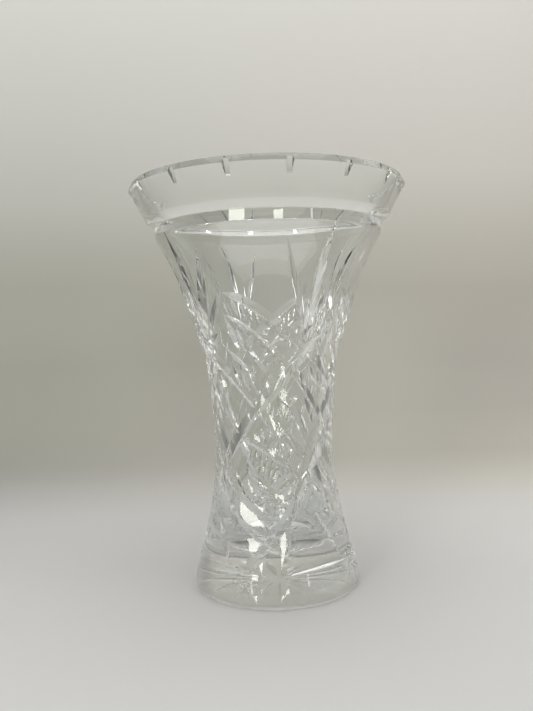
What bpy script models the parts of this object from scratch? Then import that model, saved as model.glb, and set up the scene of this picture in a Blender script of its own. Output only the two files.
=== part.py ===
"""Cut crystal vase: one solid of lead crystal, turned and then wheel-cut.

World frame, metres: the origin is the middle of the resting face, +Z is up, and the front faces -Y.
An angle round the vase is in degrees from the front, and grows towards +X.
"""

import math

import bmesh
import bpy

# Overall sizes
HEIGHT = 0.2515
RIM_TOP_RADIUS = 0.0849
MOUTH_RADIUS = 0.0812
RIM_ROUND = 0.0008
FOOT_RADIUS = 0.0508
FLOOR_HEIGHT = 0.0215
RESTING_RING_INNER = 0.0440
UNDERSIDE_RECESS = 0.0010

# Outer side of the body, as (height, radius), from the foot to the shoulder
BODY_SIDE = (
    (0.0045, 0.0522),
    (0.0090, 0.0519),
    (0.0200, 0.0486),
    (0.0400, 0.0437),
    (0.0640, 0.0392),
    (0.0860, 0.0375),
    (0.1120, 0.0389),
    (0.1360, 0.0409),
    (0.1520, 0.0442),
    (0.1760, 0.0524),
    (0.2000, 0.0606),
    (0.2160, 0.0690),
    (0.2200, 0.0712),
)
# Straight neck band above the shoulder, a bevel under the collar, then the collar up to the
# chamfer of the rim. The last station lies above the chamfer and only guides the notches.
BAND_TOP = (0.2262, 0.0712)
COLLAR_SIDE = (
    (0.2303, 0.0765),
    (0.2360, 0.0793),
    (0.2440, 0.0838),
    (0.2478, 0.0862),
    (0.2530, 0.0894),
)
# Inside wall, as (height, radius), from the floor to the mouth
INSIDE = (
    (0.0222, 0.0120),
    (0.0246, 0.0215),
    (0.0300, 0.0283),
    (0.0400, 0.0318),
    (0.0560, 0.0322),
    (0.0860, 0.0297),
    (0.1120, 0.0308),
    (0.1360, 0.0330),
    (0.1520, 0.0362),
    (0.1760, 0.0445),
    (0.2000, 0.0535),
    (0.2205, 0.0660),
    (0.2360, 0.0739),
)
TURN_STEPS = 48
BODY_RINGS = 13

# Cut pattern: each cut is repeated this many times round the body
REPEATS = 4
LIFT = 0.0015
MITRE_HALF_ANGLE = 52.0
BLADE_HALF_ANGLE = 50.0
RUNG_HALF_ANGLE = 48.0

# Rising mitre, as (angle, height in mm) along its bottom line
RISING = ((50, 161), (40, 155), (27, 147), (10, 132), (0, 123), (-20, 109), (-30, 100), (-45, 87),
          (-63, 69), (-80, 50), (-90, 42), (-102, 30), (-115, 18))
RISING_DEPTH = 0.0024
# The two falling mitres of a strip
FALLING_UPPER = ((-31, 184), (-10, 172), (12, 157), (27, 147), (55, 131), (76, 114), (90, 103),
                 (117, 84), (130, 74), (150, 58), (168, 46), (178, 41))
FALLING_LOWER = ((-34, 172), (-20, 164), (0, 149), (12, 140), (30, 124), (45, 110), (59, 99),
                 (90, 87), (117, 70), (132, 62), (150, 49), (168, 38.5), (184, 31))
FALLING_DEPTH = 0.0017
# Blades of the fan above each crossing: (foot angle, foot height), (tip angle, tip height), depth
FAN = (
    ((25.0, 150), (9.0, 214), 0.0018),
    ((26.0, 151), (20.5, 192), 0.0018),
    ((27.5, 151), (32.0, 219), 0.0026),
    ((30.0, 151), (51.5, 211), 0.0020),
    ((32.5, 151), (64.0, 190), 0.0020),
)
# Rungs across the strip between the falling mitres: angle of the upper end of each
RUNGS = (-18, -6, 6, 58, 70)
RUNG_DEPTH = 0.0011
# Leaf-shaped facet low on each side: the way it faces, the height of its upper edge, how steeply
# that edge falls across the body, and its depth at each height
FACET_TURN = -16.5
FACET_EDGE = 0.0520
FACET_FALL = 0.86
FACET_HALF_WIDTH = 0.020
FACET_DEPTHS = ((0.0240, -0.0006), (0.0310, 0.0001), (0.0380, 0.0004), (0.0480, 0.0012), (0.0800, 0.0014))
# Notches in the top edge of the collar
NOTCHES = 16
NOTCH_PHASE = 8.5
NOTCH_LENGTH = 0.0105
NOTCH_DEPTH = 0.0019
# Star cut under the foot
STAR_RAYS = 16
STAR_PHASE = 5.0
STAR_RADIUS = 0.0400
STAR_DEPTH = 0.0018


def smooth_curve(stations, parameter):
    """Value at parameter on a smooth curve through (parameter, value) stations."""
    keys = [s[0] for s in stations]
    values = [s[1] for s in stations]
    last = len(keys) - 2
    i = 0
    while i < last and parameter > keys[i + 1]:
        i += 1

    def slope(k):
        low = max(k - 1, 0)
        high = min(k + 1, len(keys) - 1)
        return (values[high] - values[low]) / (keys[high] - keys[low])

    span = keys[i + 1] - keys[i]
    u = (parameter - keys[i]) / span
    start = 2 * u**3 - 3 * u**2 + 1
    end = 3 * u**2 - 2 * u**3
    lead_in = (u**3 - 2 * u**2 + u) * span * slope(i)
    lead_out = (u**3 - u**2) * span * slope(i + 1)
    return start * values[i] + end * values[i + 1] + lead_in + lead_out


def side_radius(height):
    """Outer radius at a height, over the body, the neck band or the collar."""
    if height <= BODY_SIDE[-1][0]:
        return smooth_curve(BODY_SIDE, max(height, BODY_SIDE[0][0]))
    if height <= BAND_TOP[0]:
        return BAND_TOP[1]
    return smooth_curve(COLLAR_SIDE, max(height, COLLAR_SIDE[0][0]))


def on_side(angle, height):
    """The point of the outer side at an angle and height, and the outward normal there."""
    turn = math.radians(angle)
    radius = side_radius(height)
    slope = (side_radius(height + 0.0005) - side_radius(height - 0.0005)) / 0.001
    length = math.hypot(1.0, slope)
    point = (radius * math.sin(turn), -radius * math.cos(turn), height)
    normal = (math.sin(turn) / length, -math.cos(turn) / length, -slope / length)
    return point, normal


def minus(a, b):
    return tuple(p - q for p, q in zip(a, b))


def cross(a, b):
    return (a[1] * b[2] - a[2] * b[1], a[2] * b[0] - a[0] * b[2], a[0] * b[1] - a[1] * b[0])


def unit(a):
    length = math.sqrt(sum(p * p for p in a))
    return tuple(p / length for p in a)


def along(point, *steps):
    """point moved by each (direction, distance)."""
    for direction, distance in steps:
        point = tuple(p + d * distance for p, d in zip(point, direction))
    return point


def path_points(stations, segments):
    """Evenly spaced (angle, height in metres) along a line drawn on the side."""
    travelled = [0.0]
    for (a0, h0), (a1, h1) in zip(stations, stations[1:]):
        across = math.radians(a1 - a0) * side_radius((h0 + h1) / 2000)
        travelled.append(travelled[-1] + math.hypot(across, (h1 - h0) / 1000))
    angles = [(t, a) for t, (a, _) in zip(travelled, stations)]
    heights = [(t, h / 1000) for t, (_, h) in zip(travelled, stations)]
    found = []
    for i in range(segments + 1):
        t = travelled[-1] * i / segments
        found.append((smooth_curve(angles, t), smooth_curve(heights, t)))
    return found


def swept_wedge(points, depths, half_angle):
    """Rings of a V-shaped wedge whose edge follows the points at the given depths."""
    spread = math.tan(math.radians(half_angle))
    sites = [on_side(a, h) for a, h in points]
    rings = []
    for i, (site, normal) in enumerate(sites):
        ahead = sites[min(i + 1, len(sites) - 1)][0]
        behind = sites[max(i - 1, 0)][0]
        sideways = unit(cross(normal, minus(ahead, behind)))
        half = (depths[i] + LIFT) * spread
        edge = along(site, (normal, -depths[i]))
        left = along(site, (normal, LIFT), (sideways, half))
        right = along(site, (normal, LIFT), (sideways, -half))
        rings.append((edge, left, right))
    return rings


def add_wedge(mesh, rings, turn):
    """Adds a closed cutter made of rings to a bmesh, turned round the vase's axis by degrees."""
    c = math.cos(math.radians(turn))
    s = math.sin(math.radians(turn))
    made = []
    for ring in rings:
        made.append([mesh.verts.new((c * x - s * y, s * x + c * y, z)) for x, y, z in ring])
    faces = [mesh.faces.new(made[0]), mesh.faces.new(made[-1])]
    for low, high in zip(made, made[1:]):
        for k in range(len(low)):
            m = (k + 1) % len(low)
            faces.append(mesh.faces.new((low[k], low[m], high[m], high[k])))
    bmesh.ops.recalc_face_normals(mesh, faces=faces)


def wedge_cutter(name, wedges):
    """One cutter object holding (rings, turn) wedges that don't touch each other."""
    mesh = bmesh.new()
    for rings, turn in wedges:
        add_wedge(mesh, rings, turn)
    bmesh.ops.triangulate(mesh, faces=mesh.faces)
    data = bpy.data.meshes.new(name)
    mesh.to_mesh(data)
    mesh.free()
    cutter = bpy.data.objects.new(name, data)
    cutter.hide_render = True
    cutter.display_type = "WIRE"
    cutters.objects.link(cutter)
    return cutter


def repeated(rings):
    return [(rings, 360.0 * k / REPEATS) for k in range(REPEATS)]


def run_out(segments, depth, ends):
    """Depths of a mitre that leaves the surface at both ends, over this many segments."""
    depths = []
    for i in range(segments + 1):
        near = min(i, segments - i) / ends
        depths.append(depth - (depth + 0.0003) * max(0.0, 1.0 - near) ** 2)
    return depths


def plunge(segments, depth, deepest=0.5):
    """Depths of a leaf-shaped cut: nothing at the ends, and the most at a share of its length."""
    depths = []
    for i in range(segments + 1):
        t = i / segments
        away = (deepest - t) / deepest if t < deepest else (t - deepest) / (1 - deepest)
        depths.append(depth - (depth + 0.0003) * away**2)
    return depths


def leaf_facet():
    """Rings of a cutter whose inner face is straight across and follows the body's side down it."""
    turn = math.radians(FACET_TURN)
    outward = (math.sin(turn), -math.cos(turn), 0.0)
    sideways = (math.cos(turn), math.sin(turn), 0.0)
    rings = []
    for i in range(8):
        middle = FACET_EDGE - 0.006 * i
        inner = []
        outer = []
        for k in range(-2, 3):
            across = FACET_HALF_WIDTH * k / 2
            height = middle - FACET_FALL * across
            read = min(max(height, FACET_DEPTHS[0][0]), FACET_DEPTHS[-1][0])
            floor = side_radius(read) - smooth_curve(FACET_DEPTHS, read) + 0.4 * max(0.0, read - height)
            site = along((0.0, 0.0, height), (outward, floor), (sideways, across))
            inner.append(site)
            outer.append(along(site, (outward, 0.008)))
        rings.append(inner + outer[::-1])
    return rings


def smooth_by_angle(target, degrees):
    """Last modifier: an edge sharper than this stays crisp, as a wheel leaves it."""
    tree = bpy.data.node_groups.new("crisp_edges", "GeometryNodeTree")
    tree.interface.new_socket("Geometry", in_out="INPUT", socket_type="NodeSocketGeometry")
    tree.interface.new_socket("Geometry", in_out="OUTPUT", socket_type="NodeSocketGeometry")
    entry = tree.nodes.new("NodeGroupInput")
    exit_node = tree.nodes.new("NodeGroupOutput")
    bend = tree.nodes.new("GeometryNodeInputMeshEdgeAngle")
    sharper = tree.nodes.new("FunctionNodeCompare")
    sharper.data_type = "FLOAT"
    sharper.operation = "GREATER_THAN"
    sharper.inputs["B"].default_value = math.radians(degrees)
    shade = tree.nodes.new("GeometryNodeSetShadeSmooth")
    shade.domain = "EDGE"
    shade.inputs["Shade Smooth"].default_value = False
    tree.links.new(bend.outputs["Unsigned Angle"], sharper.inputs["A"])
    tree.links.new(entry.outputs[0], shade.inputs["Geometry"])
    tree.links.new(sharper.outputs["Result"], shade.inputs["Selection"])
    tree.links.new(shade.outputs["Geometry"], exit_node.inputs[0])
    modifier = target.modifiers.new("crisp_edges", "NODES")
    modifier.node_group = tree


def cut(target, cutter):
    modifier = target.modifiers.new(cutter.name, "BOOLEAN")
    modifier.operation = "DIFFERENCE"
    modifier.solver = "EXACT"
    modifier.object = cutter


for old in list(bpy.data.objects):
    bpy.data.objects.remove(old, do_unlink=True)

crystal_vase = bpy.data.collections.new("crystal_vase")
bpy.context.scene.collection.children.link(crystal_vase)
cutters = bpy.data.collections.new("cutters")
cutters.hide_render = True
bpy.context.scene.collection.children.link(cutters)

# Turned blank: up the inside, over the rim, down the outer side, and in under the foot
profile = [(0.0, FLOOR_HEIGHT)]
profile += [(r, h) for h, r in INSIDE]
profile += [
    (MOUTH_RADIUS, HEIGHT - RIM_ROUND),
    (MOUTH_RADIUS + RIM_ROUND, HEIGHT),
    (RIM_TOP_RADIUS, HEIGHT),
]
profile += [(r, h) for h, r in reversed(COLLAR_SIDE[:-1])]
profile.append((BAND_TOP[1], BAND_TOP[0]))
shoulder = BODY_SIDE[-1][0]
ankle = BODY_SIDE[0][0]
for i in range(BODY_RINGS + 1):
    h = shoulder + (ankle - shoulder) * i / BODY_RINGS
    profile.append((side_radius(h), h))
profile += [
    (0.0517, 0.0014),
    (FOOT_RADIUS, 0.0),
    (RESTING_RING_INNER, 0.0),
    (RESTING_RING_INNER - UNDERSIDE_RECESS, UNDERSIDE_RECESS),
    (0.0, UNDERSIDE_RECESS),
]
outline = bpy.data.meshes.new("vase")
outline.from_pydata(
    [(r, 0.0, h) for r, h in profile],
    [(i, i + 1) for i in range(len(profile) - 1)],
    [],
)
vase = bpy.data.objects.new("vase", outline)
crystal_vase.objects.link(vase)
screw = vase.modifiers.new("turn", "SCREW")
screw.axis = "Z"
screw.steps = TURN_STEPS
screw.render_steps = TURN_STEPS
screw.use_merge_vertices = True
screw.merge_threshold = 0.0001
screw.use_smooth_shade = True

# Leaf-shaped facets, then the long mitres
cut(vase, wedge_cutter("leaf_facets", repeated(leaf_facet())))
points = path_points(RISING, 18)
cut(vase, wedge_cutter("rising_mitres", repeated(
    swept_wedge(points, run_out(18, RISING_DEPTH, 2), MITRE_HALF_ANGLE))))
for name, line in (("falling_mitres_upper", FALLING_UPPER), ("falling_mitres_lower", FALLING_LOWER)):
    points = path_points(line, 20)
    cut(vase, wedge_cutter(name, repeated(
        swept_wedge(points, run_out(20, FALLING_DEPTH, 2), MITRE_HALF_ANGLE))))

# Fan blades
for number, (foot, tip, depth) in enumerate(FAN):
    points = path_points((foot, tip), 5)
    cut(vase, wedge_cutter(f"fan_blades_{number}", repeated(
        swept_wedge(points, plunge(5, depth, 0.45), BLADE_HALF_ANGLE))))

# Rungs across the upper strip
rungs = []
for angle in RUNGS:
    upper = smooth_curve([(a, h) for a, h in FALLING_UPPER], angle) - 3.0
    points = path_points(((angle + 1.0, upper), (angle - 2.5, upper - 11.0)), 2)
    rungs += repeated(swept_wedge(points, plunge(2, RUNG_DEPTH), RUNG_HALF_ANGLE))
cut(vase, wedge_cutter("rungs", rungs))

# Notches in the collar's top edge
notches = []
for k in range(NOTCHES):
    points = path_points(((0, 1000 * (HEIGHT + 0.0015)), (0, 1000 * (HEIGHT - NOTCH_LENGTH))), 3)
    rings = swept_wedge(points, [NOTCH_DEPTH, NOTCH_DEPTH, 0.6 * NOTCH_DEPTH, -0.0002], 45.0)
    notches.append((rings, NOTCH_PHASE + 360.0 * k / NOTCHES))
cut(vase, wedge_cutter("rim_notches", notches))

# Star under the foot: rays that stop short of the middle, so they stay apart
rays = []
for k in range(STAR_RAYS):
    rings = []
    for radius, depth in ((0.009, 0.0), (0.024, STAR_DEPTH), (STAR_RADIUS, -0.0003)):
        half = 0.9 * (depth + LIFT)
        low = UNDERSIDE_RECESS - LIFT
        edge = (0.0, -radius, UNDERSIDE_RECESS + depth)
        rings.append((edge, (half, -radius, low), (-half, -radius, low)))
    rays.append((rings, STAR_PHASE + 360.0 * k / STAR_RAYS))
cut(vase, wedge_cutter("star_rays", rays))

smooth_by_angle(vase, 14.0)

crystal = bpy.data.materials.new("crystal")
crystal.use_nodes = True
shader = crystal.node_tree.nodes["Principled BSDF"]
shader.inputs["Base Color"].default_value = (0.93, 0.95, 0.95, 1.0)
shader.inputs["Roughness"].default_value = 0.02
shader.inputs["IOR"].default_value = 1.545
shader.inputs["Transmission Weight"].default_value = 1.0
vase.data.materials.append(crystal)
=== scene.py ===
"""Scene of the cut crystal vase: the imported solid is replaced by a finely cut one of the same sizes.

Metres, +Z up, front towards -Y. An angle round the vase is in degrees from the front and grows
towards +X. Heights in the pattern tables are in millimetres above the table.
"""

import math

import bmesh
import bpy
import numpy as np
from mathutils import Matrix, Vector


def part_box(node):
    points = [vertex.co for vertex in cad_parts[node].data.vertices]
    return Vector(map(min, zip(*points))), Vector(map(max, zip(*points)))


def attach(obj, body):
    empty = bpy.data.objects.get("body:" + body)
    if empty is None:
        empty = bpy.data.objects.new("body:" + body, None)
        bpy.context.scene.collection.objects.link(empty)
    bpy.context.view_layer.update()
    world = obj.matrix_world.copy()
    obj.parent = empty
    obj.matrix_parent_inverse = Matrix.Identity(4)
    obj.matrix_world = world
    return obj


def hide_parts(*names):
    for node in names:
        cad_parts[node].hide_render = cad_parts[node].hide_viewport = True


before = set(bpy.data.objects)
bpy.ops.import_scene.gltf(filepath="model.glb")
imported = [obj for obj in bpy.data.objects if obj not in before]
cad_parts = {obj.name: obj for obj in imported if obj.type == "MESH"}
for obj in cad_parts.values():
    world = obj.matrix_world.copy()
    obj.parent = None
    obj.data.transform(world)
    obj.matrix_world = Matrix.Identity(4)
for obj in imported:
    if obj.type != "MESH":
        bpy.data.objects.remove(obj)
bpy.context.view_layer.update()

# ---------------------------------------------------------------- sizes of the turned shape
HEIGHT = round(float(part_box("vase")[1][2]), 5)
FLOOR_HEIGHT = 0.0215
UNDERSIDE_RECESS = 0.0010
BAND_RADIUS = 0.0712
BAND_LOW = 0.2200
BEVEL_MIDDLE = 0.2280
# Outer side, as (height, radius), from the foot to the neck band, and of the collar
BODY_SIDE = (
    (0.0045, 0.0522), (0.0090, 0.0519), (0.0200, 0.0486), (0.0400, 0.0437), (0.0640, 0.0392),
    (0.0860, 0.0375), (0.1120, 0.0389), (0.1360, 0.0409), (0.1520, 0.0442), (0.1760, 0.0524),
    (0.2000, 0.0606), (0.2160, 0.0690), (0.2200, 0.0711),
)
COLLAR_SIDE = (
    (0.2303, 0.0765), (0.2360, 0.0793), (0.2440, 0.0838), (0.2478, 0.0862), (0.2530, 0.0894),
)
# Inside wall, as (height, radius), and the rounded bottom of the well, as (radius, height)
INSIDE = (
    (0.0300, 0.0283), (0.0400, 0.0318), (0.0560, 0.0322), (0.0860, 0.0297), (0.1120, 0.0308),
    (0.1360, 0.0330), (0.1520, 0.0362), (0.1760, 0.0445), (0.2000, 0.0535), (0.2205, 0.0660),
    (0.2360, 0.0739), (0.2505, 0.0812),
)
WELL_BOTTOM = (
    (0.0, FLOOR_HEIGHT), (0.0060, 0.02155), (0.0120, 0.0221), (0.0180, 0.0231),
    (0.0225, 0.0247), (0.0260, 0.0271),
)
# Rim, as (radius, distance below the top), from the mouth over the top to the chamfer outside
RIM = (
    (0.0815, 0.0004), (0.0820, 0.0), (0.0844, 0.0), (0.0848, 0.00015),
    (0.08495, 0.0005), (0.0861, 0.0032), (0.0862, 0.0036), (0.08615, 0.0039),
)
# Bevel under the collar and the straight neck band, then the foot, as (radius, height)
BEVEL_AND_BAND = (
    (0.0765, 0.2305), (0.0760, 0.2300), (0.0720, 0.22675), (0.0714, 0.2264),
    (BAND_RADIUS, 0.2260), (BAND_RADIUS, 0.2203), (0.07105, 0.2198),
)
FOOT = (
    (0.0522, 0.0045), (0.0521, 0.0030), (0.0518, 0.0016), (0.0514, 0.0006), (0.0508, 0.0),
    (0.0440, 0.0), (0.0433, 0.0004), (0.0430, UNDERSIDE_RECESS), (0.0, UNDERSIDE_RECESS),
)
# Heights of the rings of points between those tables
INSIDE_RINGS = np.concatenate([np.linspace(0.030, 0.060, 14), np.linspace(0.064, 0.2505, 40)])
COLLAR_RINGS = np.array([0.2462, 0.2440, 0.2405, 0.2370, 0.2340, 0.2309])
BODY_RINGS = np.linspace(0.2185, 0.0060, 72)
TURN_STEPS = 256
# An edge that bends by more degrees than this stays crisp
CRISP_ANGLE = 13

# ---------------------------------------------------------------- the cut pattern
REPEATS = 4
# How far a cutter stands above the surface that it cuts, and how far a cut's ends rise above it
LIFT = 0.0015
RUN_OFF = 0.0003
# Share of a mitre's length over which it deepens
DEEPENING = 0.06
# Half of the step over which the slope of the side is measured
PROBE = 0.0004
# Room that cuts of one batch leave each other
CLEARANCE = 0.0002

# The long mitres, as (angle, height) along their bottom lines
RISING = ((50, 161), (40, 155), (27, 147), (10, 132), (0, 124), (-20, 109), (-30, 100), (-45, 87),
          (-63, 69), (-80, 50), (-90, 42), (-102, 30), (-115, 18))
UPPER = ((-31, 184), (-10, 172), (12, 157), (27, 147), (55, 131), (76, 114), (90, 101), (105, 92),
         (117, 83), (130, 74), (150, 60), (165, 50.5), (178, 43))
LOWER = ((-34, 172), (-20, 164), (0, 149), (12, 140), (30, 124), (45, 110), (59, 98), (72, 93.5),
         (90, 86), (105, 77.5), (117, 70), (132, 62), (150, 49), (168, 38.5), (184, 31))
# Leaves and short cuts: angle and height of both ends, depth in millimetres, half angle of the
# flanks in degrees, and the share of the length at which the cut is deepest
STROKES = (
    # fan above the crossing
    (24.5, 152, 8.5, 214, 1.7, 50, 0.45),
    (26.0, 153, 20.0, 193, 1.6, 50, 0.45),
    (27.5, 152, 32.0, 221, 2.8, 52, 0.50),
    (29.5, 153, 35.5, 187, 1.5, 50, 0.45),
    (31.0, 152, 52.5, 212, 2.0, 50, 0.45),
    (34.0, 154, 52.0, 198, 1.6, 50, 0.45),
    (36.0, 154, 62.0, 188, 1.8, 50, 0.45),
    # short cuts in the strip, under its upper line
    (-24.5, 180, -21.5, 169, 1.1, 50, 0.5),
    (-19.5, 177, -17.0, 166, 1.1, 50, 0.5),
    (-14.5, 174, -12.5, 164, 1.1, 50, 0.5),
    (-9.5, 171, -8.0, 162, 1.1, 50, 0.5),
    (-2.5, 168.5, -1.0, 162.0, 1.2, 52, 0.5),
    (2.0, 165.0, 3.5, 158.5, 1.2, 52, 0.5),
    (6.5, 161.5, 8.0, 155.5, 1.2, 52, 0.5),
    (11.0, 158.0, 12.5, 152.5, 1.2, 52, 0.5),
    # short cuts on its lower line
    (-16.0, 163.5, -14.0, 156.0, 1.3, 50, 0.5),
    (-11.5, 160.0, -9.5, 152.5, 1.3, 50, 0.5),
    (-6.5, 156.0, -4.5, 149.0, 1.3, 50, 0.5),
    (-2.5, 153.0, -0.5, 146.0, 1.3, 50, 0.5),
    (2.0, 149.5, 4.0, 143.0, 1.3, 50, 0.5),
    (7.0, 146.0, 9.0, 139.5, 1.2, 50, 0.5),
    # leaves between the strip and the rising mitre
    (-32.0, 168, -24.0, 148, 1.6, 54, 0.5),
    (-25.0, 163, -19.5, 147, 1.2, 50, 0.5),
    (-42.0, 155, -11.0, 132, 1.1, 52, 0.5),
    (-27.0, 143, -18.0, 123, 1.5, 50, 0.5),
    (-34.0, 142, -27.0, 127, 1.3, 50, 0.5),
    (-2.0, 143, -8.5, 127, 1.2, 60, 0.5),
    (-21.0, 140, -12.0, 122, 1.2, 50, 0.5),
    # right of the rising mitre
    (20.0, 138, 30.0, 126, 1.4, 62, 0.4),
    (22.0, 123, 13.0, 115.0, 1.5, 52, 0.5),
    (15.0, 114, 12.5, 106, 1.2, 50, 0.5),
    (5.0, 124, 6.5, 112, 1.3, 50, 0.5),
    (33.0, 140, 42.0, 122, 1.5, 52, 0.5),
    (40.0, 138, 50.0, 119, 1.3, 52, 0.5),
    (28.0, 122, 38.0, 104, 1.4, 52, 0.5),
    (22.0, 115, 32.0, 97, 1.2, 52, 0.5),
    # short cuts above the second turn of the upper line
    (-4.0, 108.5, -5.5, 101.0, 1.2, 50, 0.5),
    (3.5, 105.0, 1.5, 98.0, 1.3, 52, 0.5),
    (10.5, 100.5, 8.5, 93.5, 1.3, 52, 0.5),
    (17.0, 96.0, 15.0, 89.5, 1.2, 50, 0.5),
    (29.0, 88.5, 27.0, 82.0, 1.2, 50, 0.5),
    # divisions of the wide facet under it
    (-6.0, 99.5, -8.5, 91.0, 0.9, 45, 0.5),
    (5.5, 94.5, 3.0, 85.5, 0.9, 45, 0.5),
    (14.0, 89.5, 11.5, 80.5, 0.9, 45, 0.5),
    # ladder under the second turn of the lower line
    (-21.5, 93, -22.5, 80, 1.2, 50, 0.5),
    (-16.0, 92, -18.5, 77, 1.2, 50, 0.5),
    (-11.0, 90.5, -14.5, 74, 1.2, 50, 0.5),
    (-6.0, 88.5, -10.5, 72, 1.2, 50, 0.5),
    (-1.0, 86, -6.5, 70, 1.2, 50, 0.5),
    (4.0, 83, -2.0, 68, 1.2, 50, 0.5),
    (-24.0, 76.0, 2.0, 61.5, 1.2, 50, 0.5),
    (4.0, 78.5, 26.0, 64.0, 1.3, 50, 0.5),
    (14.5, 72.5, 3.0, 66.0, 1.0, 50, 0.5),
    (-26.0, 84, -20.5, 73, 1.4, 50, 0.5),
    (-31.0, 70, -25.0, 58, 1.4, 50, 0.5),
    (-15.5, 68.0, -6.0, 62.5, 1.1, 58, 0.5),
    (-9.0, 63.0, 0.5, 57.5, 1.1, 58, 0.5),
    (-2.5, 58.0, 7.0, 52.5, 1.1, 58, 0.5),
    (-21.0, 65.5, -8.0, 56.0, 1.2, 66, 0.5),
    (-5.0, 65.0, 9.0, 55.0, 1.1, 66, 0.5),
    (-38.0, 78, -28.0, 62, 1.2, 50, 0.5),
    (-44.0, 76, -35.0, 60, 1.2, 50, 0.5),
    # long leaf low on the left, and short cuts where the rising mitre ends
    (-57.0, 55, -35.0, 22, 1.1, 66, 0.5),
    (-14.2, 26.5, -13.4, 3.0, 1.3, 70, 0.45),
    (14.5, 48.0, 1.0, 3.0, 1.1, 73, 0.5),
    (-19.5, 19.0, -18.5, 4.5, 1.2, 50, 0.45),
    (-22.0, 17.5, -27.0, 6.5, 1.2, 50, 0.45),
    (-23.0, 18.5, -37.0, 9.0, 1.2, 50, 0.45),
    (-24.0, 20.0, -44.0, 15.5, 1.2, 50, 0.45),
    (-26.0, 22.5, -42.0, 24.5, 1.0, 50, 0.45),
)
LEAF_SEGMENTS = 12
# Notches in the top edge of the collar: each has a flat floor that is narrower than the notch is at
# the surface, narrows downwards by the taper, and runs out
NOTCHES = 16
NOTCH_PHASE = 8.5
NOTCH_LENGTH = 0.0105
NOTCH_DEPTH = 0.0021
NOTCH_WIDTH = 0.0054
NOTCH_TAPER = 0.45
NOTCH_FLOOR_SHARE = 0.55
NOTCH_FLARE = 0.0004
NOTCH_RINGS = 9
# Star under the foot: (radius, depth) along a ray, and its half width for each metre of depth
STAR_RAYS = 16
STAR_PHASE = 5.0
STAR_RAY = ((0.0060, 0.0001), (0.0140, 0.0008), (0.0260, 0.0012), (0.0400, -0.0003))
STAR_SPREAD = 1.1
# Leaf-shaped facet low on each side: the way it faces, the height of its upper edge in the middle,
# how steeply that edge falls across the body, and the depth of the facet by height. Its cutter leans
# out by a share of the way down below the lowest of those heights.
FACET_TURN = -16.5
FACET_EDGE = 0.0520
FACET_FALL = 0.86
FACET_DEPTHS = (
    (0.0240, -0.0006), (0.0285, -0.0002), (0.0310, 0.0001), (0.0380, 0.0004),
    (0.0480, 0.0012), (0.0560, 0.00135), (0.0800, 0.0014),
)
FACET_HALF_WIDTH = 0.024
FACET_LENGTH = 0.052
FACET_RUN_OUT = 0.4
FACET_THICKNESS = 0.008
FACET_COLUMNS = 17
FACET_ROWS = 27


# ---------------------------------------------------------------- surfaces and paths
def curve(keys, values, where):
    """Smooth (Catmull-Rom) curve through values at keys, read at where."""
    keys = np.asarray(keys, float)
    values = np.asarray(values, float)
    where = np.asarray(where, float)
    slope = np.empty(len(keys))
    slope[1:-1] = (values[2:] - values[:-2]) / (keys[2:] - keys[:-2])
    slope[0] = (values[1] - values[0]) / (keys[1] - keys[0])
    slope[-1] = (values[-1] - values[-2]) / (keys[-1] - keys[-2])
    i = np.clip(np.searchsorted(keys, where, side="right") - 1, 0, len(keys) - 2)
    span = keys[i + 1] - keys[i]
    u = (where - keys[i]) / span
    return (
        (2 * u**3 - 3 * u**2 + 1) * values[i]
        + (3 * u**2 - 2 * u**3) * values[i + 1]
        + (u**3 - 2 * u**2 + u) * span * slope[i]
        + (u**3 - u**2) * span * slope[i + 1]
    )


def side_radius(height):
    """Outer radius of the body and the neck band, or of the collar from the middle of the bevel up."""
    height = np.asarray(height, float)
    body = curve(*zip(*BODY_SIDE), np.clip(height, BODY_SIDE[0][0], BAND_LOW))
    collar = curve(*zip(*COLLAR_SIDE), np.maximum(height, COLLAR_SIDE[0][0]))
    return np.where(height <= BEVEL_MIDDLE, np.minimum(body, BAND_RADIUS), collar)


def on_side(angle, height):
    """Points of the outer side, and the outward normals there."""
    turn = np.radians(angle)
    radius = side_radius(height)
    slope = (side_radius(height + PROBE) - side_radius(height - PROBE)) / (2 * PROBE)
    length = np.hypot(1.0, slope)
    points = np.stack([radius * np.sin(turn), -radius * np.cos(turn), height + 0 * turn], -1)
    normals = np.stack([np.sin(turn) / length, -np.cos(turn) / length, -slope / length], -1)
    return points, normals


def path(stations, segments):
    """Evenly spaced angles and heights (metres) along a line drawn on the side."""
    angles = np.array([a for a, _ in stations], float)
    heights = np.array([h for _, h in stations], float) / 1000
    middle = side_radius((heights[1:] + heights[:-1]) / 2)
    steps = np.hypot(np.radians(np.diff(angles)) * middle, np.diff(heights))
    travelled = np.concatenate([[0.0], np.cumsum(steps)])
    where = np.linspace(0, travelled[-1], segments + 1)
    return curve(travelled, angles, where), curve(travelled, heights, where)


def turned(points, degrees):
    """Points turned round the vase's axis."""
    c, s = math.cos(math.radians(degrees)), math.sin(math.radians(degrees))
    return points @ np.array([[c, s, 0], [-s, c, 0], [0, 0, 1]])


def mesh_of(name, points, faces):
    """A mesh of points and faces."""
    data = bpy.data.meshes.new(name)
    data.from_pydata([tuple(p) for p in points], [], faces)
    return data


def closed_mesh(name, points, faces, in_triangles=False):
    """A mesh that closes a volume, with its faces turned outwards."""
    data = mesh_of(name, points, faces)
    shape = bmesh.new()
    shape.from_mesh(data)
    if in_triangles:
        bmesh.ops.triangulate(shape, faces=shape.faces)
    bmesh.ops.recalc_face_normals(shape, faces=shape.faces)
    shape.to_mesh(data)
    shape.free()
    return data


def added(name, data):
    """A new object of the scene."""
    made = bpy.data.objects.new(name, data)
    bpy.context.scene.collection.objects.link(made)
    return made


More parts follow.
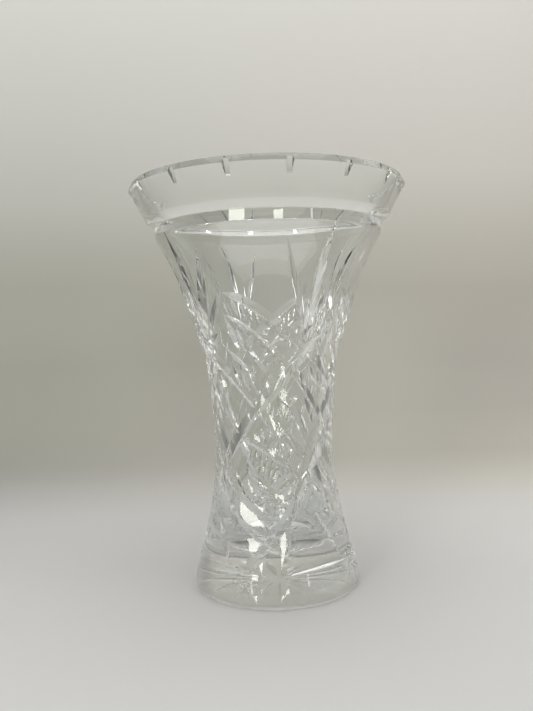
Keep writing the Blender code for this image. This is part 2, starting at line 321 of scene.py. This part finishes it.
# ---------------------------------------------------------------- shapes of the cuts, as rings of points
def wedge(angles, heights, depths, left, right):
    """A V wedge whose edge runs at the depths below the side; left and right are the half angles
    of its two flanks, in degrees."""
    sites, normals = on_side(angles, heights)
    across = np.cross(normals, np.gradient(sites, axis=0))
    across /= np.linalg.norm(across, axis=-1, keepdims=True)
    depths = np.asarray(depths)[:, None]
    edge = sites - normals * depths
    over = sites + normals * LIFT
    a = over + across * (depths + LIFT) * math.tan(math.radians(left))
    b = over - across * (depths + LIFT) * math.tan(math.radians(right))
    return np.stack([edge, a, b], 1)


def mitre(stations, segments, left, right, depth, start, stop, deeper=0.0, deeper_from=1.0):
    """A long V cut with left and right flanks: it leaves the surface over start and stop segments
    at its two ends, and may go deeper from a share of its length on."""
    angles, heights = path(stations, segments)
    i = np.arange(segments + 1)
    near = np.clip(np.minimum(i / start, (segments - i) / stop), 0, 1)
    late = np.clip((i / segments - deeper_from) / DEEPENING, 0, 1)
    depths = depth + deeper * late * late * (3 - 2 * late)
    return wedge(angles, heights, depths - (depths + RUN_OFF) * (1 - near) ** 2, left, right)


def leaf(foot, tip, depth, half_angle, deepest):
    """A short V cut that is widest and deepest at a share of its length, and runs out both ways."""
    angles, heights = path((foot, tip), LEAF_SEGMENTS)
    t = np.linspace(0, 1, LEAF_SEGMENTS + 1)
    away = np.where(t < deepest, (deepest - t) / deepest, (t - deepest) / (1 - deepest))
    return wedge(angles, heights, depth - (depth + RUN_OFF) * away**2, half_angle, half_angle)


def facet():
    """The leaf-shaped facet: flat across, and following the side down the body."""
    turn = math.radians(FACET_TURN)
    out = np.array([math.sin(turn), -math.cos(turn), 0.0])
    aside = np.array([math.cos(turn), math.sin(turn), 0.0])
    across = np.linspace(-FACET_HALF_WIDTH, FACET_HALF_WIDTH, FACET_COLUMNS)
    lowest, highest = FACET_DEPTHS[0][0], FACET_DEPTHS[-1][0]
    rings = []
    for low in np.linspace(FACET_EDGE, FACET_EDGE - FACET_LENGTH, FACET_ROWS):
        heights = low - FACET_FALL * across
        read = np.clip(heights, lowest, highest)
        floor = side_radius(read) - curve(*zip(*FACET_DEPTHS), read)
        floor = np.where(heights < lowest, floor + (lowest - heights) * FACET_RUN_OUT, floor)
        inner = out * floor[:, None] + aside * across[:, None]
        inner[:, 2] = heights
        rings.append(np.concatenate([inner, (inner + out * FACET_THICKNESS)[::-1]]))
    return np.array(rings)


def notch():
    """A shallow groove across the collar's edge: a flat floor between two steep flanks."""
    down = np.linspace(0, 1, NOTCH_RINGS)
    sites, normals = on_side(np.zeros(NOTCH_RINGS), HEIGHT + LIFT - down * (NOTCH_LENGTH + LIFT))
    depths = (NOTCH_DEPTH - (NOTCH_DEPTH + RUN_OFF) * down**3)[:, None]
    floor = sites - normals * depths
    over = sites + normals * LIFT
    across = np.array([1.0, 0.0, 0.0])
    wide = (NOTCH_WIDTH / 2 * (1 - NOTCH_TAPER * down) + NOTCH_FLARE)[:, None]
    narrow = wide * NOTCH_FLOOR_SHARE
    return np.stack([floor - across * narrow, floor + across * narrow,
                     over + across * wide, over - across * wide], 1)


def ray():
    """One ray of the star under the foot."""
    rings = []
    low = UNDERSIDE_RECESS - LIFT
    for radius, depth in STAR_RAY:
        half = (depth + LIFT) * STAR_SPREAD
        edge = (0.0, -radius, UNDERSIDE_RECESS + depth)
        rings.append((edge, (half, -radius, low), (-half, -radius, low)))
    return np.array(rings)


# ---------------------------------------------------------------- blank, cutters and cutting
def blank():
    """The uncut glass, turned from its profile: up the inside, over the rim, down to the foot."""
    profile = list(WELL_BOTTOM)
    profile += zip(curve(*zip(*INSIDE), INSIDE_RINGS), INSIDE_RINGS)
    profile += [(radius, HEIGHT - below) for radius, below in RIM]
    profile += zip(side_radius(COLLAR_RINGS), COLLAR_RINGS)
    profile += BEVEL_AND_BAND
    profile += zip(side_radius(BODY_RINGS), BODY_RINGS)
    profile += FOOT
    turn = np.radians(np.arange(TURN_STEPS) * 360.0 / TURN_STEPS)
    points = [(0.0, 0.0, profile[0][1])]
    ring_start = []
    for radius, height in profile[1:-1]:
        ring_start.append(len(points))
        points.extend(zip(radius * np.sin(turn), -radius * np.cos(turn), np.full(TURN_STEPS, height)))
    last = len(points)
    points.append((0.0, 0.0, profile[-1][1]))
    faces = []
    for k in range(TURN_STEPS):
        m = (k + 1) % TURN_STEPS
        faces.append((0, ring_start[0] + k, ring_start[0] + m))
        faces.append((last, ring_start[-1] + m, ring_start[-1] + k))
        for low, high in zip(ring_start, ring_start[1:]):
            faces.append((low + k, high + k, high + m, low + m))
    return added("cut_glass", closed_mesh("blank", points, faces))


def repeated(rings, copies=REPEATS, phase=0.0):
    """Copies of one cut, as (rings, turn), evenly spaced round the vase."""
    return [(rings, phase + 360.0 * k / copies) for k in range(copies)]


def batches(cuts):
    """Repeated cuts gathered into groups whose members stay clear of each other."""
    groups = []
    for copies in cuts:
        boxes = []
        for rings, turn in copies:
            points = turned(rings.reshape(-1, 3), turn)
            boxes.append((points.min(0) - CLEARANCE, points.max(0) + CLEARANCE))
        for group, taken in groups:
            if not any((a[0] < b[1]).all() and (b[0] < a[1]).all() for a in boxes for b in taken):
                group.extend(copies)
                taken.extend(boxes)
                break
        else:
            groups.append((list(copies), boxes))
    return [group for group, _ in groups]


def cutter(name, copies):
    """One closed mesh object for the copies of a group, which don't touch each other."""
    points, faces = [], []
    for rings, turn in copies:
        start = len(points)
        count, sides = rings.shape[:2]
        points.extend(turned(rings.reshape(-1, 3), turn))
        faces.append([start + k for k in reversed(range(sides))])
        faces.append([start + (count - 1) * sides + k for k in range(sides)])
        for i in range(count - 1):
            low = start + i * sides
            for k in range(sides):
                m = (k + 1) % sides
                faces.append((low + k, low + m, low + sides + m, low + sides + k))
    return added(name, closed_mesh(name, points, faces, in_triangles=True))


def carve(blank_glass, groups):
    """Cuts every group out of the blank and gives it the finished mesh."""
    tools = [cutter(f"wheel_{number}", group) for number, group in enumerate(groups)]
    for tool in tools:
        step = blank_glass.modifiers.new(tool.name, "BOOLEAN")
        step.operation = "DIFFERENCE"
        step.solver = "MANIFOLD"
        step.object = tool
    bpy.context.view_layer.update()
    graph = bpy.context.evaluated_depsgraph_get()
    finished = bpy.data.meshes.new_from_object(blank_glass.evaluated_get(graph))
    finished.name = blank_glass.name
    blank_glass.modifiers.clear()
    blank_glass.data = finished
    for tool in tools:
        bpy.data.objects.remove(tool, do_unlink=True)
    finished.shade_smooth()
    finished.set_sharp_from_angle(angle=math.radians(CRISP_ANGLE))


groups = [
    repeated(facet()),
    repeated(mitre(RISING, segments=90, left=52, right=60, depth=0.0024, start=10, stop=4)),
    repeated(mitre(UPPER, segments=110, left=76, right=35, depth=0.0013, start=8, stop=3)),
    repeated(mitre(LOWER, segments=110, left=60, right=45, depth=0.0013, start=8, stop=3,
                   deeper=0.0011, deeper_from=0.84)),
]
groups += batches([
    repeated(leaf((a0, h0), (a1, h1), depth / 1000, half_angle, deepest))
    for a0, h0, a1, h1, depth, half_angle, deepest in STROKES
])
groups.append(repeated(notch(), NOTCHES, NOTCH_PHASE))
# Neighbouring rays touch near the middle of the star, so every other one is cut first
rays = repeated(ray(), STAR_RAYS, STAR_PHASE)
groups += [rays[0::2], rays[1::2]]
glass = blank()
carve(glass, groups)

# ---------------------------------------------------------------- helpers for shader nodes
def feed(socket, value):
    """Sets an input socket to a value, or links it to another node's output."""
    if isinstance(value, bpy.types.NodeSocket):
        socket.id_data.links.new(value, socket)
    else:
        socket.default_value = value


def node(tree, kind, **inputs):
    """A new shader node with its inputs fed; _ in an input's name stands for a space."""
    made = tree.nodes.new("ShaderNode" + kind)
    for name, value in inputs.items():
        feed(made.inputs[name.replace("_", " ")], value)
    return made


def calculated(tree, operation, *values):
    """The result of a Math node."""
    made = node(tree, "Math")
    made.operation = operation
    for socket, value in zip(made.inputs, values):
        feed(socket, value)
    return made.outputs[0]


def mapped(tree, value, low, high, top=1.0):
    """low..high of a value brought to 0..top, and held there."""
    return node(tree, "MapRange", Value=value, From_Min=low, From_Max=high, To_Max=top).outputs[0]


def ramp(tree, factor, stops):
    """A colour ramp through (position, colour) stops."""
    made = node(tree, "ValToRGB", Fac=factor)
    elements = made.color_ramp.elements
    while len(elements) < len(stops):
        elements.new(0.5)
    for element, (position, colour) in zip(elements, stops):
        element.position = position
        element.color = (*colour, 1)
    return made.outputs["Color"]


def mixed(tree, factor, first, second):
    """Two colours mixed by a factor."""
    made = tree.nodes.new("ShaderNodeMix")
    made.data_type = "RGBA"
    feed(made.inputs["Factor"], factor)
    feed(made.inputs["A"], first)
    feed(made.inputs["B"], second)
    return made.outputs["Result"]


# ---------------------------------------------------------------- material of the glass
GLASS_IOR = 1.545
# The colour's streaks: cells per metre, and a stop for their darker and their clearer parts
STREAK_CELLS = 26.0
STREAKS = ((0.3, (0.915, 0.932, 0.922)), (0.7, (0.945, 0.957, 0.948)))
# Uneven polish: cells per metre, then the noise where it starts to dull, the noise where it is
# dullest, and the roughness there
POLISH_CELLS = 70.0
POLISH = (0.55, 0.80, 0.02)
# Wear under the foot: the height where it starts, the height where it is full, and its roughness
WEAR = (0.0045, 0.0020, 0.30)
# Waves that acid polishing leaves in the faces: cells per metre, and height in metres
WAVE_CELLS = 85.0
WAVE_HEIGHT = 0.00002


def lead_crystal():
    """Clear glass with faint streaks, uneven polish, a worn foot and slightly wavy faces."""
    made = bpy.data.materials.new("lead_crystal")
    made.use_nodes = True
    tree = made.node_tree
    place = node(tree, "TexCoord").outputs["Object"]

    def cloud(cells, detail):
        return node(tree, "TexNoise", Vector=place, Scale=cells, Detail=detail).outputs["Fac"]

    height = node(tree, "SeparateXYZ", Vector=place).outputs["Z"]
    polish = mapped(tree, cloud(POLISH_CELLS, 4.0), *POLISH)
    wear = mapped(tree, height, *WEAR)
    waves = node(tree, "Bump", Strength=1.0, Distance=WAVE_HEIGHT, Height=cloud(WAVE_CELLS, 1.0))
    shader = tree.nodes["Principled BSDF"].inputs
    feed(shader["Base Color"], ramp(tree, cloud(STREAK_CELLS, 2.0), STREAKS))
    feed(shader["Roughness"], calculated(tree, "ADD", polish, wear))
    feed(shader["Normal"], waves.outputs["Normal"])
    feed(shader["IOR"], GLASS_IOR)
    feed(shader["Transmission Weight"], 1.0)
    return made


# The cuts leave an empty material slot on the mesh
glass.data.materials.clear()
glass.data.materials.append(lead_crystal())
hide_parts("vase")
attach(glass, "root")

# ---------------------------------------------------------------- sweep
FRONT_EDGE = -2.5
SWEEP_HALF_WIDTH = 3.0
SWEEP_TOP = 3.0
WALL_AT = 0.70
BEND = 0.30
# Painted light and shade on the pale paper, on its left and its right, as (reach, brightness, warmth):
# the paper is darker and warmer where the floor meets the wall and brighter up the wall by where light
# falls. Reach is the distance back along the floor plus the height up the wall
LEFT_PAINTED_LIGHT_TONES = (
    (-0.14, 0.716, 0.1), (-0.03, 0.659, 0.1), (0.05, 0.594, 0.1), (0.16, 0.550, 0.1),
    (0.235, 0.484, 0.2), (0.33, 0.423, 0.5), (0.5, 0.385, 0.9), (0.75, 0.373, 1.0),
    (0.94, 0.443, 1.0), (1.08, 0.597, 0.6), (1.21, 0.686, 0.5), (1.41, 0.800, 0.5),
)
RIGHT_PAINTED_LIGHT_TONES = (
    (-0.14, 0.759, 0.1), (0.05, 0.805, 0.2), (0.15, 0.774, 0.3), (0.2, 0.749, 0.5),
    (0.27, 0.694, 0.8), (0.44, 0.561, 0.9), (0.6, 0.491, 0.9), (0.75, 0.488, 0.9),
    (0.92, 0.489, 1.0), (1, 0.582, 0.9), (1.12, 0.714, 0.7), (1.4, 0.840, 0.5),
)
REACH = (-0.2, 1.6)
# Green and blue that a warm tone loses
LEFT_GREEN_LOSS = 0.01
RIGHT_GREEN_LOSS = 0.04
BLUE_LOSS = 0.14
# Half of the width over which the left tones turn into the right ones
TONES_MEET = 0.35
# Dark flags far out on both sides, so that the cuts show darker lines: colour, start and full
FLAG_COLOUR = (0.25, 0.25, 0.24, 1)
FLAG_FROM = 0.60
FLAG_FULL = 0.90
# Glow painted into the paper under the foot, in place of the light that the glass itself passes down to
# the table: strength, colour, and the radii where it starts and is full
UNDER_FOOT_LIGHT = 0.20
UNDER_FOOT_COLOUR = (1.0, 0.985, 0.96, 1.0)
UNDER_FOOT_EDGE = (0.0525, 0.0475)


def sweep_mesh():
    """Floor, bend and wall in one sheet of paper."""
    rows = [(FRONT_EDGE, 0.0), (-1.0, 0.0), (WALL_AT - BEND, 0.0)]
    for degrees in range(6, 91, 6):
        a = math.radians(degrees)
        rows.append((WALL_AT - BEND + BEND * math.sin(a), BEND - BEND * math.cos(a)))
    rows += [(WALL_AT, 1.0), (WALL_AT, SWEEP_TOP)]
    points = [(x, y, z) for y, z in rows for x in (-SWEEP_HALF_WIDTH, SWEEP_HALF_WIDTH)]
    faces = [(2 * i, 2 * i + 1, 2 * i + 3, 2 * i + 2) for i in range(len(rows) - 1)]
    return mesh_of("sweep", points, faces)


def sweep_paper():
    """Matt pale paper with painted light and shade, which change back along the floor, up the wall and
    out to the sides, and a painted glow under the foot.
    """
    made = bpy.data.materials.new("sweep_paper")
    made.use_nodes = True
    tree = made.node_tree
    place = node(tree, "TexCoord").outputs["Object"]
    x, y, z = node(tree, "SeparateXYZ", Vector=place).outputs
    reach = mapped(tree, calculated(tree, "ADD", y, z), *REACH)

    def shades(tones, green_loss):
        stops = []
        for where, value, warm in tones:
            colour = (value, value * (1 - green_loss * warm), value * (1 - BLUE_LOSS * warm))
            stops.append(((where - REACH[0]) / (REACH[1] - REACH[0]), colour))
        return ramp(tree, reach, stops)

    # Painted light and shade: the paper's brightness and warmth change by where light falls, mixed from
    # the left tones to the right ones
    paper_and_painted_light = mixed(tree, mapped(tree, x, -TONES_MEET, TONES_MEET),
                  shades(LEFT_PAINTED_LIGHT_TONES, LEFT_GREEN_LOSS), shades(RIGHT_PAINTED_LIGHT_TONES, RIGHT_GREEN_LOSS))
    far_out = mapped(tree, calculated(tree, "ABSOLUTE", x), FLAG_FROM, FLAG_FULL)
    from_axis = node(tree, "VectorMath")
    from_axis.operation = "LENGTH"
    feed(from_axis.inputs[0], node(tree, "CombineXYZ", X=x, Y=y).outputs[0])
    # Painted glow: the paper under the foot emits light in place of the light that the glass passes down
    glow = mapped(tree, from_axis.outputs["Value"], *UNDER_FOOT_EDGE)
    shader = tree.nodes["Principled BSDF"].inputs
    feed(shader["Base Color"], mixed(tree, far_out, paper_and_painted_light, FLAG_COLOUR))
    feed(shader["Roughness"], 0.9)
    feed(shader["Specular IOR Level"], 0.1)
    feed(shader["Emission Color"], UNDER_FOOT_COLOUR)
    feed(shader["Emission Strength"], calculated(tree, "MULTIPLY", glow, UNDER_FOOT_LIGHT))
    return made


sweep = added("sweep", sweep_mesh())
sweep.data.shade_smooth()
sweep.data.materials.append(sweep_paper())

# ---------------------------------------------------------------- light
# Sky tones from below the horizon to straight up
SKY = ((0.30, (0.24, 0.238, 0.228)), (0.80, (0.36, 0.355, 0.345)), (1.0, (0.95, 0.94, 0.915)))
SKY_LOWEST = -0.3
WHITE = (1.0, 1.0, 1.0)
# Tint of daylight in the glass, and the share of a front window's light that the glass shows
CREAM = (0.98, 1.0, 0.89)
SEEN = 0.76
WINDOW_DISTANCE = 8.0
# Height of the point on the vase's axis that the windows face
WINDOW_AIM = 0.12
# The two front windows: name, azimuth, elevation, width, height, strength
FRONT_WINDOWS = (
    ("left", -29.0, 7.4, 2.10, 1.65, 15),
    ("middle", 10.5, 6.3, 1.26, 1.32, 14),
)


def studio_world():
    """A dim room that gets brighter upwards."""
    made = bpy.data.worlds.new("studio")
    made.use_nodes = True
    tree = made.node_tree
    up = node(tree, "SeparateXYZ", Vector=node(tree, "TexCoord").outputs["Generated"]).outputs["Z"]
    feed(tree.nodes["Background"].inputs["Color"], ramp(tree, mapped(tree, up, SKY_LOWEST, 1.0), SKY))
    return made


def window(name, azimuth, elevation, distance, width, height, strength, colour=WHITE):
    """An area light that faces the vase, placed by its direction from the vase."""
    lamp = bpy.data.lights.new(name, "AREA")
    lamp.shape = "RECTANGLE"
    lamp.size = width
    lamp.size_y = height
    lamp.energy = strength * math.pi * width * height
    lamp.color = colour
    made = added(name, lamp)
    a, e = math.radians(azimuth), math.radians(elevation)
    back = Vector((math.sin(a) * math.cos(e), -math.cos(a) * math.cos(e), math.sin(e)))
    made.location = Vector((0, 0, WINDOW_AIM)) + back * distance
    made.rotation_mode = "QUATERNION"
    made.rotation_quaternion = back.to_track_quat("Z", "Y")
    return made


scene = bpy.context.scene
scene.world = studio_world()
# The glass shows only a share of a front window's light, tinted cream. A fill in the same place,
# which only matt surfaces see, gives the backdrop the rest, so that it is lit by the whole window.
for name, azimuth, elevation, width, height, strength in FRONT_WINDOWS:
    place = (azimuth, elevation, WINDOW_DISTANCE, width, height)
    window("window_" + name, *place, strength * SEEN, CREAM)
    fill = window("fill_" + name, *place, strength, [1 - SEEN * tone for tone in CREAM])
    fill.visible_glossy = False
    fill.visible_transmission = False
window("window_right", 43.0, 10.2, WINDOW_DISTANCE, 0.30, 0.30, 6)
window("overhead", 0, 82, 2.2, 3.0, 2.0, 1.25)

scene.view_settings.view_transform = "Standard"
scene.cycles.max_bounces = 32
scene.cycles.glossy_bounces = 24
scene.cycles.transmission_bounces = 28
scene.cycles.transparent_max_bounces = 16

# ---------------------------------------------------------------- camera
CAMERA_LENS = 34.18
CAMERA_AT = (0.0, -0.4329, 0.1593)
# Degrees that the camera looks down, leans and turns
PITCH = 1.895
ROLL = -1.682
YAW = 0.4056


def camera_matrix():
    """Place of the camera, and its right, up and back directions."""
    pitch, roll, yaw = math.radians(PITCH), math.radians(ROLL), math.radians(YAW)
    level = Vector((-math.sin(yaw), math.cos(yaw), 0))
    forward = math.cos(pitch) * level - math.sin(pitch) * Vector((0, 0, 1))
    upright = math.sin(pitch) * level + math.cos(pitch) * Vector((0, 0, 1))
    sideways = Vector((math.cos(yaw), math.sin(yaw), 0))
    right = math.cos(roll) * sideways + math.sin(roll) * upright
    up = -math.sin(roll) * sideways + math.cos(roll) * upright
    return Matrix((
        (right.x, up.x, -forward.x, CAMERA_AT[0]),
        (right.y, up.y, -forward.y, CAMERA_AT[1]),
        (right.z, up.z, -forward.z, CAMERA_AT[2]),
        (0, 0, 0, 1),
    ))


camera = added("camera", bpy.data.cameras.new("camera"))
camera.data.lens = CAMERA_LENS
camera.matrix_world = camera_matrix()
scene.camera = camera
